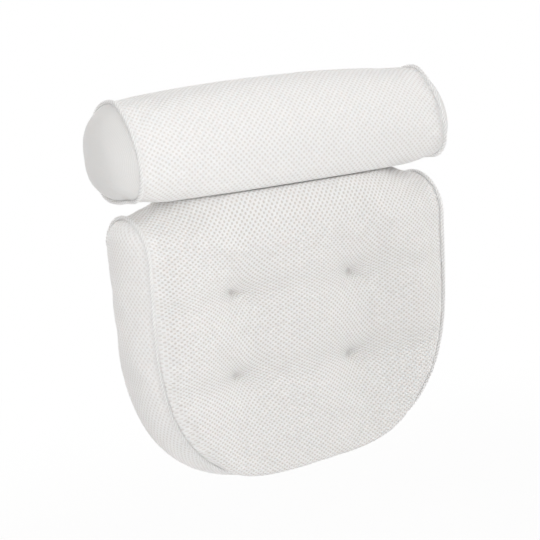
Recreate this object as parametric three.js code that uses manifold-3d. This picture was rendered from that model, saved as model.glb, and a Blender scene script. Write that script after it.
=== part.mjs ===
// Bath pillow: a head roll over a tufted back pad, joined by a fabric hinge strip and held to the bath by suction cups.
// Millimetres. Y = 0 is the bath wall, the front faces -Y, X runs to the right, Z = 0 is the seam line of the pad's foot.
import * as THREE from "three";
import Module from "manifold-3d";
import { mergeVertices } from "three/addons/utils/BufferGeometryUtils.js";

// Fabric and sewing
const fabricThickness = 3;
const sewingGap = 0.3;
const fillingClearance = 0.4;
const pipingRadius = 1.9;
const pipingGap = 0.4;

// Back pad
const padWidth = 314;
const padShoulderHeight = 214;
const padTopDepth = 81;
const padFootDepth = 66;
const padCornerHeight = 175;
const padFootDrop = 4;
const padCornerPower = 3;
const archHeight = 35;
const padCrown = 18;
const padDish = 9;
const shoulderCrown = 13;
const padCrownSideRun = 34;
const padCrownFootRun = 30;
const ridgeCrown = 11.4;
const ridgeSideRun = 78;
const bandBulge = 15;
const footBulge = 7;

// Tufts of the pad, sewn through from front to back
const tuftSpacing = 126;
const tuftShift = -12;
const tuftLowHeight = 93;
const tuftHighHeight = 172;
const tuftDepth = 13;
const tuftSpread = 18;
const tuftLowFold = 5;
const tuftHighFold = 3;
const tuftFoldSpread = 14;
const tuftKnotRadius = 2;
const tuftKnotLength = 2;
const tuftKnotSink = 0.2;
const tuftThreadRadius = 0.9;
const tuftButtonRadius = 5;
const tuftButtonThickness = 2;
const tuftClearance = 0.3;

// Head roll
const headLength = 322;
const pinchGap = 0.6;
const headHalfHeight = 41.5;
const headNoseReach = 45;
const headNoseDrop = 18;
const headRearReach = 46;
const headNosePower = 2.05;
const headRearPower = 3.6;
const headCrown = 7.5;
const headNoseCrown = 4;
const headEndBulge = 25;
const headEndPower = 2.6;

// Suction cups and the patches that hold them
const cupLipRadius = 29;
const cupLipWidth = 2;
const cupLipThickness = 1;
const cupDishDepth = 7;
const cupHubRadius = 8;
const cupHubHeight = 11;
const cupNeckRadius = 5;
const cupHeadRadius = 9;
const cupHeadThickness = 3.8;
const cupClearance = 0.4;
const patchRadius = 22;
const patchThickness = 1.6;
const patchSlope = 2;
const padCupSpacing = 220;
const padCupLowHeight = 80;
const padCupShoulderDrop = 36;
const headCupInset = 66;

// Fabric hinge strip behind the pinch
const stripWidth = 200;
const stripThickness = 1.8;
const stripCorner = 8;
const stripPadLap = 10;
const stripHeadDrop = 27;

// Fineness of the facets
const sideColumns = 8;
const middleColumns = 8;
const lowRows = 4;
const middleRows = 4;
const highRows = 3;
const archRows = 8;
const bandColumns = 4;
const headSides = 28;
const headStations = 10;
const headRings = 5;
const pipingSides = 8;
const padPipingSteps = 80;
const headPipingSteps = 48;
const cupSides = 18;
const cupRings = 4;
const patchSides = 18;
const tieSides = 10;

// Places that follow from the sizes above
const padHalfWidth = padWidth / 2;
const cupStandoff = cupHubHeight + 2 * cupClearance + patchThickness + cupHeadThickness;
const rearPlane = -(cupStandoff + cupClearance);
const archCentre = rearPlane - padTopDepth / 2;
const headWaist = rearPlane - headRearReach;
const ridgeHeight = padShoulderHeight + archHeight + ridgeCrown;
const headCentreHeight = ridgeHeight + pinchGap + headHalfHeight + headCrown;
const padCupHighHeight = padShoulderHeight - padCupShoulderDrop;
const headCupSpacing = headLength - 2 * headCupInset;
const pipingOffset = (pipingRadius + pipingGap) / Math.SQRT2;
const fillingInset = fabricThickness + fillingClearance;

const wasm = await Module();
wasm.setup();

const point = (x, y, z) => new THREE.Vector3(x, y, z);
const blend = (a, b, t) => a + (b - a) * t;
const limited = (t) => Math.min(1, Math.max(0, t));
const ease = (t) => 1 - (1 - limited(t)) ** 2;
const smooth = (t) => limited(t) ** 2 * (3 - 2 * limited(t));
const signedPower = (value, power) => Math.sign(value) * Math.abs(value) ** power;

function steps(count, make) {
  return Array.from({ length: count + 1 }, (_, i) => make(i / count));
}

function addTriangle(skin, a, b, c) {
  const thin = 1e-4;
  if (a.distanceTo(b) < thin || b.distanceTo(c) < thin || c.distanceTo(a) < thin) return;
  skin.push(a, b, c);
}

function addQuad(skin, a, b, c, d) {
  addTriangle(skin, a, b, c);
  addTriangle(skin, a, c, d);
}

// Faces of a grid of points, facing one way or the other; a ring grid also joins its last row to its first.
function addGrid(skin, grid, flipped, ring) {
  for (let i = 0; i + 1 < grid.length; i++) {
    const rows = grid[i].length;
    for (let j = 0; j + (ring ? 0 : 1) < rows; j++) {
      const k = (j + 1) % rows;
      const [a, b, c, d] = [grid[i][j], grid[i + 1][j], grid[i + 1][k], grid[i][k]];
      if (flipped) addQuad(skin, a, d, c, b);
      else addQuad(skin, a, b, c, d);
    }
  }
}

// A strip of faces between two rows of points, one face for each step.
function addStrip(skin, from, to, ring) {
  for (let j = 0; j + (ring ? 0 : 1) < from.length; j++) {
    const k = (j + 1) % from.length;
    addQuad(skin, from[j], from[k], to[k], to[j]);
  }
}

// A closed skin as a geometry whose faces point outwards.
function closedGeometry(skin) {
  let volume = 0;
  for (let i = 0; i < skin.length; i += 3) {
    volume += skin[i].dot(skin[i + 1].clone().cross(skin[i + 2]));
  }
  const ordered = volume < 0 ? [...skin].reverse() : skin;
  return new THREE.BufferGeometry().setFromPoints(ordered);
}

// A sewn panel: an outer and an inner grid, joined along their edges.
function panelGeometry(outer, inner, ring = false) {
  const skin = [];
  addGrid(skin, outer, false, ring);
  addGrid(skin, inner, true, ring);
  const last = outer.length - 1;
  addStrip(skin, outer[0], inner[0], ring);
  addStrip(skin, inner[last], outer[last], ring);
  if (!ring) {
    const edge = (grid, row) => grid.map((column) => column.at(row));
    addStrip(skin, edge(inner, 0), edge(outer, 0));
    addStrip(skin, edge(outer, -1), edge(inner, -1));
  }
  return closedGeometry(skin);
}

// A flat face bounded by a loop of points that lie on one plane across Y.
function addFlatFace(skin, loop, flipped) {
  const contour = loop.map((p) => new THREE.Vector2(p.x, p.z));
  for (const corners of THREE.ShapeUtils.triangulateShape(contour, [])) {
    const places = corners.map((corner) => loop[corner]);
    if (flipped) places.reverse();
    addTriangle(skin, ...places);
  }
}

function outwardGeometry(geometry) {
  const flat = geometry.index ? geometry.toNonIndexed() : geometry;
  const place = flat.getAttribute("position");
  const skin = [];
  for (let i = 0; i < place.count; i += 3) {
    const corners = [0, 1, 2].map((n) => new THREE.Vector3().fromBufferAttribute(place, i + n));
    addTriangle(skin, ...corners);
  }
  return closedGeometry(skin);
}

function solidOf(geometry) {
  const bare = new THREE.BufferGeometry().setAttribute("position", geometry.getAttribute("position"));
  const merged = mergeVertices(bare, 1e-3);
  const mesh = { numProp: 3, vertProperties: merged.attributes.position.array };
  mesh.triVerts = new Uint32Array(merged.index.array);
  return new wasm.Manifold(new wasm.Mesh(mesh));
}

function cutGeometry(geometry, cutters) {
  const solid = cutters.reduce((rest, cutter) => rest.subtract(solidOf(cutter)), solidOf(geometry));
  const mesh = solid.getMesh();
  const cut = new THREE.BufferGeometry();
  cut.setAttribute("position", new THREE.BufferAttribute(new Float32Array(mesh.vertProperties), 3));
  cut.setIndex(new THREE.BufferAttribute(new Uint32Array(mesh.triVerts), 1));
  return cut;
}

// Turns a profile of [radius, y] pairs about the Y axis.
function turned(profile, sides) {
  const outline = profile.map(([radius, y]) => new THREE.Vector2(radius, y));
  return outwardGeometry(new THREE.LatheGeometry(outline, sides));
}

// Pad outline: u runs from -1 at the left seam to 1 at the right seam.
function footHeight(u, inset) {
  const rise = 1 - (1 - Math.min(1, Math.abs(u) ** padCornerPower)) ** (1 / padCornerPower);
  return blend(inset - padFootDrop, padCornerHeight, rise);
}

// Direction across the outline, out of the pad, in the X-Z plane.
function footOutward(u) {
  const up = (1 - Math.min(1, Math.abs(u) ** padCornerPower)) ** (1 / padCornerPower);
  const across = (Math.sign(u) * Math.abs(u) ** (padCornerPower - 1)) / padHalfWidth;
  const down = -(up ** (padCornerPower - 1)) / (padCornerHeight + padFootDrop);
  return point(across, 0, down).normalize();
}

// Only the edges move in with the inset, so the tufts of every layer stay in line.
const edgePower = 6;
function padX(u, inset) {
  return u * padHalfWidth - inset * signedPower(u, edgePower);
}

function padZ(u, share, inset) {
  const lift = footHeight(u, inset) - footHeight(u, 0);
  return blend(footHeight(u, 0), padShoulderHeight, share) + lift * (1 - share) ** edgePower;
}

function frontSeam(z) {
  return rearPlane - blend(padFootDepth, padTopDepth, z / padShoulderHeight);
}

// Columns across the pad: fine round the lower corners, with one column on each line of tufts.
const tuftLeft = (tuftShift - tuftSpacing / 2) / padHalfWidth;
const tuftRight = (tuftShift + tuftSpacing / 2) / padHalfWidth;
function sideShares(tuft) {
  const turn = Math.acos(Math.abs(tuft) ** (padCornerPower / 2));
  return steps(sideColumns, (t) => Math.sign(tuft) * Math.cos(t * turn) ** (2 / padCornerPower));
}
const middleShares = steps(middleColumns, (t) => blend(tuftLeft, tuftRight, t)).slice(1, -1);
const columns = [...sideShares(tuftLeft), ...middleShares, ...sideShares(tuftRight).reverse()];

// Rows up the front, with one row through each pair of tufts; the heights are those of the left tufts.
const tuftFoot = footHeight(tuftLeft, 0);
const lowShare = (tuftLowHeight - tuftFoot) / (padShoulderHeight - tuftFoot);
const highShare = (tuftHighHeight - tuftFoot) / (padShoulderHeight - tuftFoot);
const rowShares = [
  ...steps(lowRows, (t) => blend(0, lowShare, t)),
  ...steps(middleRows, (t) => blend(lowShare, highShare, t)).slice(1),
  ...steps(highRows, (t) => blend(highShare, 1, t)).slice(1),
];

function sideSwell(u, run) {
  return ease(((1 - Math.abs(u)) * padHalfWidth) / run);
}

const tuftPlaces = [tuftLeft, tuftRight].flatMap((u) =>
  [lowShare, highShare].map((share) => ({ u, share, x: padX(u, 0), z: padZ(u, share, 0) })),
);
function fold(z, height, depth) {
  return depth * Math.exp(-(((z - height) / tuftFoldSpread) ** 2));
}

// Each tie draws in a dimple, and a soft fold runs across the front through each pair.
function tuftPull(x, z) {
  let pull = fold(z, tuftLowHeight, tuftLowFold) + fold(z, tuftHighHeight, tuftHighFold);
  for (const tuft of tuftPlaces) {
    pull += tuftDepth * Math.exp(-Math.hypot(x - tuft.x, z - tuft.z) / tuftSpread);
  }
  return pull;
}

// Front face of the pad at a column and a share of the way from the foot to the shoulder.
function frontPoint(u, share, inset) {
  const x = padX(u, inset);
  const z = padZ(u, share, inset);
  const upper = smooth((z - tuftHighHeight) / (padShoulderHeight - tuftHighHeight));
  const run = blend(padCrownSideRun, ridgeSideRun, upper);
  const swell = sideSwell(u, run) * ease((z - footHeight(u, inset)) / padCrownFootRun);
  const crown = blend(padCrown - padDish * (1 - u * u), shoulderCrown, upper);
  return point(x, frontSeam(z) + inset + (tuftPull(x, z) - crown) * swell, z);
}

// Rounded top of the pad: turn 0 is the front shoulder, 1 the rear shoulder.
function archPoint(u, turn, inset) {
  const angle = turn * Math.PI;
  const reach = padTopDepth / 2 - inset;
  const rise = archHeight - inset;
  const outward = new THREE.Vector2(-Math.cos(angle) / reach, Math.sin(angle) / rise).normalize();
  const front = blend(shoulderCrown, ridgeCrown, smooth(2 * turn));
  const crown = turn < 0.5 ? front : ridgeCrown * (1 - smooth(2 * turn - 1));
  const x = padX(u, inset);
  const lift = sideSwell(u, ridgeSideRun) * (crown - tuftPull(x, padShoulderHeight) * (1 - smooth(2 * turn)));
  const y = archCentre - reach * Math.cos(angle) + outward.x * lift;
  return point(x, y, padShoulderHeight + rise * Math.sin(angle) + outward.y * lift);
}

// Front panel: up the front and over the rounded top to the rear seam.
function frontGrid(inset) {
  return columns.map((u) => [
    ...rowShares.map((share) => frontPoint(u, share, inset)),
    ...steps(archRows, (turn) => archPoint(u, turn, inset)).slice(1),
  ]);
}

// Stations of the side band, from the top of the left side round the foot to the top of the right side.
// Each has its front and rear edge, a gap away from the seams, and its outward direction.
function bandStations(inset, gap) {
  const rearOf = (front) => point(front.x, rearPlane - inset - gap, front.z);
  const frontEdge = (u, share) => frontPoint(u, share, inset).add(point(0, gap, 0));
  const archEdge = (u, turn) => archPoint(u, turn, inset + gap).setX(padX(u, inset));
  const side = (u) => {
    const outward = point(u, 0, 0);
    const straight = rowShares.slice(0, -1).map((share) => frontEdge(u, share));
    const arch = steps(archRows / 2, (t) => t / 2);
    return [
      ...straight.map((front) => ({ front, rear: rearOf(front), outward })),
      ...arch.map((turn) => ({ front: archEdge(u, turn), rear: archEdge(u, 1 - turn), outward })),
    ];
  };
  const foot = columns.slice(1, -1).map((u) => {
    const front = frontEdge(u, 0);
    return { front, rear: rearOf(front), outward: footOutward(u) };
  });
  return [...side(-1).reverse(), ...foot, ...side(1)];
}

function bandGrid(inset, gap) {
  return bandStations(inset, gap).map(({ front, rear, outward }) => {
    const fullness = blend(bandBulge, footBulge, outward.z ** 2);
    const bulge = fullness * Math.min(1, front.distanceTo(rear) / padFootDepth);
    return steps(bandColumns, (t) =>
      front.clone().lerp(rear, t).addScaledVector(outward, bulge * 4 * t * (1 - t)),
    );
  });
}

// Outline of the flat rear panel, once round: foot, right side, top, left side.
function rearLoop(inset) {
  const y = rearPlane - inset;
  const at = (u, z) => point(padX(u, inset), y, z);
  const inner = rowShares.slice(1, -1).map((share) => padZ(1, share, inset));
  return [
    ...columns.map((u) => at(u, padZ(u, 0, inset))),
    ...inner.map((z) => at(1, z)),
    ...[...columns].reverse().map((u) => at(u, padShoulderHeight)),
    ...[...inner].reverse().map((z) => at(-1, z)),
  ];
}

// Rear panel, held one sewing gap inside the seams.
function rearPanelGeometry() {
  const shrink = (loop) =>
    loop.map((p) => {
      const inward = 1 - sewingGap / padHalfWidth;
      const z = blend(p.z, padShoulderHeight / 2, (2 * sewingGap) / padShoulderHeight);
      return point(p.x * inward, p.y, z);
    });
  const outer = shrink(rearLoop(0));
  const inner = shrink(rearLoop(fabricThickness));
  const skin = [];
  addFlatFace(skin, outer, false);
  addFlatFace(skin, inner, true);
  addStrip(skin, inner, outer, true);
  return closedGeometry(skin);
}

function padFillingGeometry() {
  const skin = [];
  addGrid(skin, frontGrid(fillingInset), false);
  addGrid(skin, bandGrid(fillingInset, 0), true);
  addFlatFace(skin, rearLoop(fillingInset), true);
  return closedGeometry(skin);
}

// A cord of round section along points that lie on the seam.
function cordGeometry(places, count, looped) {
  const path = new THREE.CatmullRomCurve3(places, looped, "centripetal");
  if (looped) return outwardGeometry(new THREE.TubeGeometry(path, count, pipingRadius, pipingSides, true));
  const section = new THREE.Shape(
    steps(pipingSides, (t) => {
      const angle = 2 * Math.PI * t;
      return new THREE.Vector2(pipingRadius * Math.cos(angle), pipingRadius * Math.sin(angle));
    }).slice(0, -1),
  );
  const settings = { extrudePath: path, steps: count, bevelEnabled: false };
  return outwardGeometry(new THREE.ExtrudeGeometry(section, settings));
}

// Piping of the pad: over the left end of the top, down the side, round the foot and back up the right side.
function padPipingPlaces() {
  const frontward = point(0, -1, 0);
  const offset = (place, a, b) => place.clone().addScaledVector(a, pipingOffset).addScaledVector(b, pipingOffset);
  const side = (u) => {
    const outward = point(u, 0, 0);
    const arch = steps(archRows, (turn) => {
      const angle = turn * Math.PI;
      const up = point(0, -Math.cos(angle) / padTopDepth, Math.sin(angle) / (2 * archHeight)).normalize();
      return offset(archPoint(u, turn, 0), outward, up);
    });
    const straight = [0, 0.5].map((share) => offset(frontPoint(u, share, 0), outward, frontward));
    return [...straight, ...arch];
  };
  const foot = columns.slice(1, -1).map((u) => offset(frontPoint(u, 0, 0), footOutward(u), frontward));
  return [...side(-1).reverse(), ...foot, ...side(1)];
}

// Head roll section: angle 0 is the nose, which hangs low, a quarter turn the top, half a turn the flat rear.
function headPoint(angle, x, inset) {
  const swell = 1 - Math.min(1, (2 * x) / headLength) ** 2;
  const front = Math.cos(angle) >= 0;
  const power = 2 / (front ? headNosePower : headRearPower);
  const reach = (front ? headNoseReach + headNoseCrown * swell : headRearReach) - inset;
  const height = headHalfHeight + headCrown * swell - inset;
  const y = headWaist - reach * signedPower(Math.cos(angle), power);
  const drop = headNoseDrop * Math.max(0, Math.cos(angle));
  return point(x, y, headCentreHeight + height * signedPower(Math.sin(angle), power) - drop);
}

function headRing(x, inset) {
  return steps(headSides, (t) => headPoint(2 * Math.PI * t, Math.abs(x), inset).setX(x)).slice(0, -1);
}

function headSleeveGeometry() {
  const grid = (inset) => steps(headStations, (t) => headRing(blend(-1, 1, t) * (headLength / 2 - inset), inset));
  return panelGeometry(grid(0), grid(fabricThickness), true);
}

// A puffed end of the roll: rings that shrink from the end seam to a point while they swell outwards.
function headEndRings(side, inset, gap) {
  const end = headLength / 2;
  const centre = point(0, headWaist - (headNoseReach - headRearReach) / 2, headCentreHeight - headNoseDrop / 3);
  const rim = headRing(end, inset);
  return steps(headRings, (t) => {
    const share = Math.cos((t * Math.PI) / 2);
    const x = side * (end - inset + gap + headEndBulge * (1 - share ** headEndPower));
    return rim.map((p) => centre.clone().lerp(p, t < 1 ? share : 0).setX(x));
  });
}

function headEndGeometry(side) {
  const skin = [];
  const outer = headEndRings(side, 0, sewingGap);
  const inner = headEndRings(side, fabricThickness, sewingGap);
  addGrid(skin, outer, false, true);
  addGrid(skin, inner, true, true);
  addStrip(skin, outer[0], inner[0], true);
  return closedGeometry(skin);
}

function headFillingGeometry() {
  const skin = [];
  const left = headEndRings(-1, fillingInset, 0);
  const right = headEndRings(1, fillingInset, 0);
  const inside = headLength / 2 - fillingInset;
  const between = steps(headStations, (t) => blend(-inside, inside, t)).slice(1, -1);
  const rings = between.map((x) => headRing(x, fillingInset));
  addGrid(skin, [...[...left].reverse(), ...rings, ...right], false, true);
  return closedGeometry(skin);
}

function headPipingPlaces(side) {
  const end = headLength / 2;
  return steps(2 * headSides, (t) => {
    const angle = 2 * Math.PI * t;
    const place = headPoint(angle, end, 0);
    const ahead = headPoint(angle + 0.02, end, 0);
    const behind = headPoint(angle - 0.02, end, 0);
    const outward = point(0, behind.z - ahead.z, ahead.y - behind.y).normalize();
    return place.addScaledVector(outward, pipingOffset).setX(side * (end + sewingGap / 2 + pipingOffset));
  }).slice(0, -1);
}

// Suction cup, turned about its own axis, with its lip on the wall.
function cupGeometry() {
  const mouth = cupLipRadius - cupLipWidth;
  const dish = (radius) => -cupDishDepth * (1 - (radius / mouth) ** 2);
  const hubTop = -cupHubHeight;
  const headTop = hubTop - 2 * cupClearance - patchThickness;
  const headEnd = headTop - cupHeadThickness;
  const inside = steps(cupRings, (t) => [mouth * t, dish(mouth * t)]);
  const outside = steps(cupRings, (t) => {
    const radius = blend(cupLipRadius, cupHubRadius, t);
    return [radius, blend(-cupLipThickness, hubTop, ease(0.35 * t + 0.65 * t * t))];
  });
  const button = [
    [cupNeckRadius, hubTop],
    [cupNeckRadius, headTop],
    [cupHeadRadius, headTop],
    [cupHeadRadius, blend(headTop, headEnd, 0.5)],
    [cupHeadRadius * 0.8, headEnd],
    [0, headEnd],
  ];
  return turned([...inside, [cupLipRadius, 0], ...outside, ...button], cupSides);
}

// Sewn patch with a raised buttonhole, which keeps the head of a cup against the rear panel.
function patchGeometry() {
  const seat = rearPlane + sewingGap;
  const top = -(cupHubHeight + cupClearance);
  const pocket = cupHeadRadius + 2 * cupClearance;
  const hole = cupNeckRadius + cupClearance;
  const outline = [
    [pocket, seat],
    [patchRadius, seat],
    [patchRadius, seat + patchThickness],
    [pocket + patchThickness + patchSlope, seat + patchThickness],
    [pocket + patchThickness, top - patchThickness / 2],
    [pocket + patchThickness / 2, top],
    [hole, top],
    [hole, top - patchThickness],
    [pocket, top - patchThickness],
    [pocket, seat],
  ];
  return turned(outline, patchSides);
}

// Tie of a tuft: a knot sunk in the front panel, the thread, and a button behind the rear panel.
// The gap widens it into the hole that it needs, which stays open through the whole dimple.
function tieProfile(front, gap) {
  const knotEnd = front + tuftKnotSink + gap;
  const knotStart = front + tuftKnotSink - tuftKnotLength - (gap > 0 ? tuftDepth : 0);
  const seat = rearPlane + sewingGap - gap;
  const buttonEnd = rearPlane + sewingGap + tuftButtonThickness + gap;
  return [
    [0, knotStart],
    [tuftKnotRadius + gap, knotStart],
    [tuftKnotRadius + gap, knotEnd],
    [tuftThreadRadius + gap, knotEnd],
    [tuftThreadRadius + gap, seat],
    [tuftButtonRadius + gap, seat],
    [tuftButtonRadius + gap, buttonEnd],
    [0, buttonEnd],
  ];
}

// Hinge strip: one flat piece of fabric sewn over the rear of both cushions.
const stripFoot = padShoulderHeight - stripPadLap;
const stripTop = headCentreHeight - stripHeadDrop;
function stripGeometry() {
  const half = stripWidth / 2;
  const outline = new THREE.Shape();
  outline.moveTo(half - stripCorner, stripFoot);
  outline.absarc(half - stripCorner, stripFoot + stripCorner, stripCorner, -Math.PI / 2, 0);
  outline.absarc(half - stripCorner, stripTop - stripCorner, stripCorner, 0, Math.PI / 2);
  outline.absarc(stripCorner - half, stripTop - stripCorner, stripCorner, Math.PI / 2, Math.PI);
  outline.absarc(stripCorner - half, stripFoot + stripCorner, stripCorner, Math.PI, 1.5 * Math.PI);
  const settings = { depth: stripThickness, bevelEnabled: false, curveSegments: 4 };
  const flat = new THREE.ExtrudeGeometry(outline, settings).rotateX(Math.PI / 2);
  return outwardGeometry(flat.translate(0, rearPlane + sewingGap + stripThickness, 0));
}

const fabric = (colour, roughness) => new THREE.MeshStandardMaterial({ color: colour, roughness, metalness: 0 });
const airMesh = fabric(0xf2f2f0, 0.85);
const tricot = fabric(0xeeeeec, 0.8);
const cord = fabric(0xf4f4f2, 0.75);
const fibre = fabric(0xf7f7f5, 0.95);
const thread = fabric(0xefefed, 0.7);
const clearVinyl = new THREE.MeshStandardMaterial({ color: 0xdfe6ea, roughness: 0.25, metalness: 0 });

const pillow = new THREE.Group();
const pad = new THREE.Group();
const head = new THREE.Group();
pillow.add(pad, head);

function place(group, name, geometry, material) {
  const mesh = new THREE.Mesh(geometry, material);
  mesh.name = name;
  group.add(mesh);
  return mesh;
}

// Tufts and the cuts that let their ties through
const tufts = tuftPlaces.map(({ u, share }) => ({
  name: `tuft_tie_${u === tuftLeft ? "left" : "right"}_${share === lowShare ? "low" : "high"}`,
  seat: frontPoint(u, share, 0),
}));
const tieTurn = 0.13;
const tieCutters = tufts.map(({ seat }) =>
  turned(tieProfile(seat.y, tuftClearance), tieSides).rotateY(tieTurn).translate(seat.x, 0, seat.z),
);

place(pad, "pad_front_panel", cutGeometry(panelGeometry(frontGrid(0), frontGrid(fabricThickness)), tieCutters), airMesh);
const bandOuter = bandGrid(0, sewingGap);
const bandInner = bandGrid(fabricThickness, sewingGap);
place(pad, "pad_side_band", panelGeometry(bandOuter, bandInner), airMesh);
place(pad, "pad_rear_panel", cutGeometry(rearPanelGeometry(), tieCutters), tricot);
place(pad, "pad_filling", cutGeometry(padFillingGeometry(), tieCutters), fibre);
place(pad, "pad_piping", cordGeometry(padPipingPlaces(), padPipingSteps, false), cord);
for (const { name, seat } of tufts) {
  place(pad, name, turned(tieProfile(seat.y, 0), tieSides), thread).position.set(seat.x, 0, seat.z);
}
place(pad, "hinge_strip", stripGeometry(), tricot);

place(head, "head_sleeve", headSleeveGeometry(), airMesh);
place(head, "head_filling", headFillingGeometry(), fibre);
for (const [side, name] of [
  [-1, "left"],
  [1, "right"],
]) {
  place(head, `head_end_${name}`, headEndGeometry(side), tricot);
  place(head, `head_piping_${name}`, cordGeometry(headPipingPlaces(side), headPipingSteps, true), cord);
}

// A cup and its patch behind each corner of the pad and behind each end of the roll
const cupPlaces = [
  [pad, "pad_low", padCupSpacing, padCupLowHeight],
  [pad, "pad_high", padCupSpacing, padCupHighHeight],
  [head, "head", headCupSpacing, headCentreHeight],
];
for (const [group, name, spacing, height] of cupPlaces) {
  for (const [side, hand] of [
    [-1, "left"],
    [1, "right"],
  ]) {
    const x = (side * spacing) / 2;
    place(group, `patch_${name}_${hand}`, patchGeometry(), tricot).position.set(x, 0, height);
    place(group, `cup_${name}_${hand}`, cupGeometry(), clearVinyl).position.set(x, 0, height);
  }
}

export default pillow;
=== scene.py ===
import math

import bpy
import numpy as np
from mathutils import Matrix, Vector
from mathutils.geometry import delaunay_2d_cdt


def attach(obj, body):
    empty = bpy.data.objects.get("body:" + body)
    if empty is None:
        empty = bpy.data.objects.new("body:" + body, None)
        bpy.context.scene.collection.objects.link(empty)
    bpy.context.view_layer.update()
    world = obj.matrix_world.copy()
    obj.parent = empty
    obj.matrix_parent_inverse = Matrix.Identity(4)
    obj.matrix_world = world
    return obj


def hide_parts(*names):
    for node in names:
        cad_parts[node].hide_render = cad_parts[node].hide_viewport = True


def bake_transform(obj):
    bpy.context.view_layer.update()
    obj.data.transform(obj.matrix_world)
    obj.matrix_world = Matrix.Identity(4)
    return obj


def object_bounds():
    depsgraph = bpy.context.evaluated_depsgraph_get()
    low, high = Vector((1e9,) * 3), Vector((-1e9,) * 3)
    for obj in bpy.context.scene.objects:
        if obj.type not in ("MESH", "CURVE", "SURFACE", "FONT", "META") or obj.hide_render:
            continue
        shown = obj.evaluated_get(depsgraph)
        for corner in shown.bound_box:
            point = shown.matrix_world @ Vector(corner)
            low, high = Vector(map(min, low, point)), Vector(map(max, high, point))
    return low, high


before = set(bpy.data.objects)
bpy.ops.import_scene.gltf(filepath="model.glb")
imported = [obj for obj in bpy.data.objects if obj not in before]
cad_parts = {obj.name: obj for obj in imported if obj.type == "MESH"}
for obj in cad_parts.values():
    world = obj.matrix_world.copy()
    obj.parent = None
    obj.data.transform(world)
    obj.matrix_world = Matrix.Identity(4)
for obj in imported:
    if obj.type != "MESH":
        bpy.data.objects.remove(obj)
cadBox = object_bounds()
scene = bpy.context.scene

# camera of the photograph; the focal length and the frame are in pixels
view = dict(azimuth=-30.392, elevation=9.585, roll=-5.306, focal=1492.4, frame=540, distance=1.3975,
            aim=(-0.01286, -0.055, 0.17879), sensor=36.0)


def addCamera():
    turn, lift, roll = (math.radians(view[k]) for k in ("azimuth", "elevation", "roll"))
    back = Vector((math.sin(turn) * math.cos(lift), -math.cos(turn) * math.cos(lift), math.sin(lift)))
    level = Vector((math.cos(turn), math.sin(turn), 0))
    upright = back.cross(level)
    right = level * math.cos(roll) + upright * math.sin(roll)
    up = upright * math.cos(roll) - level * math.sin(roll)
    data = bpy.data.cameras.new("photoCamera")
    data.sensor_fit = "HORIZONTAL"
    data.sensor_width = view["sensor"]
    data.lens = view["focal"] * view["sensor"] / view["frame"]
    camera = bpy.data.objects.new("photoCamera", data)
    camera.matrix_world = Matrix((right, up, back)).transposed().to_4x4()
    camera.location = Vector(view["aim"]) + view["distance"] * back
    scene.collection.objects.link(camera)
    scene.camera = camera


addCamera()
print("camera set")


# small helpers for sewing shapes

def ease(t):
    return 1 - (1 - np.clip(t, 0, 1)) ** 2


def smooth(t):
    t = np.clip(t, 0, 1)
    return t * t * (3 - 2 * t)


def signedPower(value, power):
    return np.sign(value) * np.abs(value) ** power


def unit(rows):
    return rows / np.maximum(np.linalg.norm(rows, axis=1), 1e-12)[:, None]


def alongLine(line):
    # how far along a line each of its points is
    return np.concatenate([[0], np.cumsum(np.linalg.norm(np.diff(line, axis=0), axis=1))])


def evenSteps(line, count, closed=False):
    # points an equal way apart along a line
    line = np.asarray(line, float)
    if closed:
        line = np.vstack([line, line[:1]])
    along = alongLine(line)
    marks = np.linspace(0, along[-1], count + 1)
    points = np.stack([np.interp(marks, along, line[:, k]) for k in range(line.shape[1])], 1)
    return points[:-1] if closed else points


def awayFrom(points, outline):
    # distance of flat points to a closed outline
    best = np.full(len(points), np.inf)
    for a, ab in zip(outline, np.roll(outline, -1, axis=0) - outline):
        share = np.clip(((points - a) @ ab) / max(ab @ ab, 1e-12), 0, 1)
        best = np.minimum(best, np.linalg.norm(points - a - share[:, None] * ab, axis=1))
    return best


def insideOf(points, outline):
    inside = np.zeros(len(points), bool)
    for (ax, ay), (bx, by) in zip(outline, np.roll(outline, -1, axis=0)):
        if ay == by:
            continue
        hit = (points[:, 1] > min(ay, by)) & (points[:, 1] <= max(ay, by))
        inside ^= hit & (points[:, 0] < ax + (points[:, 1] - ay) * (bx - ax) / (by - ay))
    return inside


def newShell():
    return dict(places=[], fade=[], faces=[], flats=[], finish=[])


# how far the holes of the mesh show at a seam, and how sharp a seam stays in finer cloth, from 0 to 1
seamFade, seamCrease = 0.5, 0.9


def addPlaces(shell, places, fade=0.0):
    first = len(shell["places"])
    shell["places"].extend(map(tuple, places))
    shell["fade"].extend(np.broadcast_to(fade, len(places)).tolist())
    return list(range(first, first + len(places)))


def addFace(shell, corners, flats, finish):
    shell["faces"].append(tuple(corners))
    shell["flats"].extend(flats)
    shell["finish"].append(finish)


def cellCorners(i, j):
    return (i, j), (i + 1, j), (i + 1, j + 1), (i, j + 1)


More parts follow.
